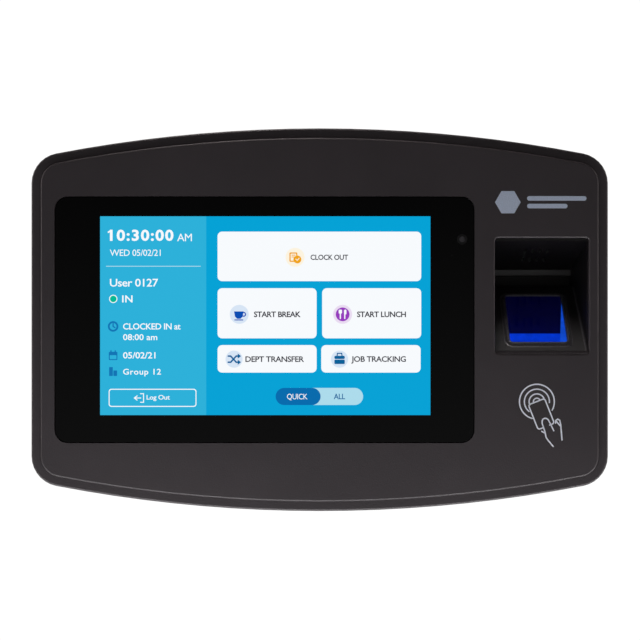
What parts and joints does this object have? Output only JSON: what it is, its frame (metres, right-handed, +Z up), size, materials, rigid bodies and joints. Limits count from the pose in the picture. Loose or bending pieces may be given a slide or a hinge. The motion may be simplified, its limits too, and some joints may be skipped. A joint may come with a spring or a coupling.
{
  "type": "fingerprint scanner terminal",
  "caption": "Wall-mounted fingerprint terminal with an arched plastic case, a touch screen, a recessed prism finger well and a card reader behind the front.",
  "frame": {"origin": "centre of the wall plate's rear face, on the wall", "axes": "+Y into the wall, the front faces -Y, +X to the right seen from the front, +Z up"},
  "size_m": [0.189, 0.04, 0.1256],
  "materials": {
    "amber_film": "polyimide film",
    "battery_wrap": "shrink film",
    "black_foam": "closed-cell foam tape",
    "blue_lamp": "clear resin over blue emitters",
    "cable_jacket": "soft jacket",
    "cell_steel": "nickel-plated can",
    "chip_plastic": "moulded epoxy",
    "circuit_board": "solder mask",
    "cover_glass": "polished, black printed border, lit screen behind it",
    "display_cell": "polariser film",
    "inner_plastic": "moulded",
    "lens_glass": "coated lens",
    "plate_steel": "powder coat",
    "port_metal": "nickel-plated",
    "prism_glass": "polished, lit blue from below",
    "screw_steel": "black zinc",
    "sheet_steel": "plain zinc-plated sheet",
    "shell_plastic": "fine spark-eroded texture, dark warm grey",
    "spring_steel": "drawn wire",
    "well_plastic": "fine satin texture",
    "white_plastic": "moulded nylon"
  },
  "bodies": {
    "wall_plate": {"wall_plate": "plate_steel"},
    "terminal": {"backup_battery": "battery_wrap", "board_screw_1": "screw_steel", "board_screw_2": "screw_steel", "board_screw_3": "screw_steel", "board_screw_4": "screw_steel", "bracket_screw_1": "screw_steel", "bracket_screw_2": "screw_steel", "bracket_screw_3": "screw_steel", "bracket_screw_4": "screw_steel", "buzzer": "inner_plastic", "camera_lens": "lens_glass", "camera_module": "inner_plastic", "coin_cell": "cell_steel", "coin_cell_holder": "inner_plastic", "cover_screw_1": "screw_steel", "cover_screw_2": "screw_steel", "cover_screw_3": "screw_steel", "cover_screw_4": "screw_steel", "cover_screw_5": "screw_steel", "cover_screw_6": "screw_steel", "display_ribbon": "amber_film", "ethernet_jack": "port_metal", "finger_well": "well_plastic", "fingerprint_prism": "prism_glass", "front_shell": "shell_plastic", "glass_gasket": "black_foam", "lcd_backlight": "sheet_steel", "lcd_bracket": "sheet_steel", "lcd_cell": "display_cell", "main_board": "circuit_board", "power_jack": "inner_plastic", "prism_frame": "well_plastic", "processor": "chip_plastic", "processor_shield": "sheet_steel", "rear_cover": "shell_plastic", "reset_switch": "inner_plastic", "rfid_antenna": "circuit_board", "sensor_board": "circuit_board", "sensor_cable": "cable_jacket", "sensor_camera": "inner_plastic", "sensor_connector": "white_plastic", "sensor_housing": "inner_plastic", "sensor_led_bar": "blue_lamp", "sensor_screw_1": "screw_steel", "sensor_screw_2": "screw_steel", "speaker": "inner_plastic", "speaker_gasket": "black_foam", "tamper_spring": "spring_steel", "tamper_switch": "inner_plastic", "touch_glass": "cover_glass", "usb_port": "port_metal", "well_screw_1": "screw_steel", "well_screw_2": "screw_steel", "well_screw_3": "screw_steel", "wifi_antenna": "amber_film"},
    "lock_screw": {"lock_screw": "screw_steel"},
    "tamper_plunger": {"tamper_plunger": "white_plastic"},
    "reset_button": {"reset_button": "white_plastic"}
  },
  "joints": [
    {"name": "terminal_lift", "type": "slide", "parent": "wall_plate", "child": "terminal", "axis": [0, 0, 1], "range_m": [0, 0.0065]},
    {"name": "lock_screw_out", "type": "slide", "parent": "wall_plate", "child": "lock_screw", "axis": [0, 0, -1], "range_m": [0, 0.009]},
    {"name": "tamper_plunger_press", "type": "slide", "parent": "terminal", "child": "tamper_plunger", "axis": [0, -1, 0], "range_m": [0, 0.0012], "stiffness_N_per_m": 150, "springref_m": -0.003, "deforming": ["tamper_spring"]},
    {"name": "reset_button_press", "type": "slide", "parent": "terminal", "child": "reset_button", "axis": [0, 0, 1], "range_m": [0, 0.0005], "stiffness_N_per_m": 300, "springref_m": -0.001}
  ]
}
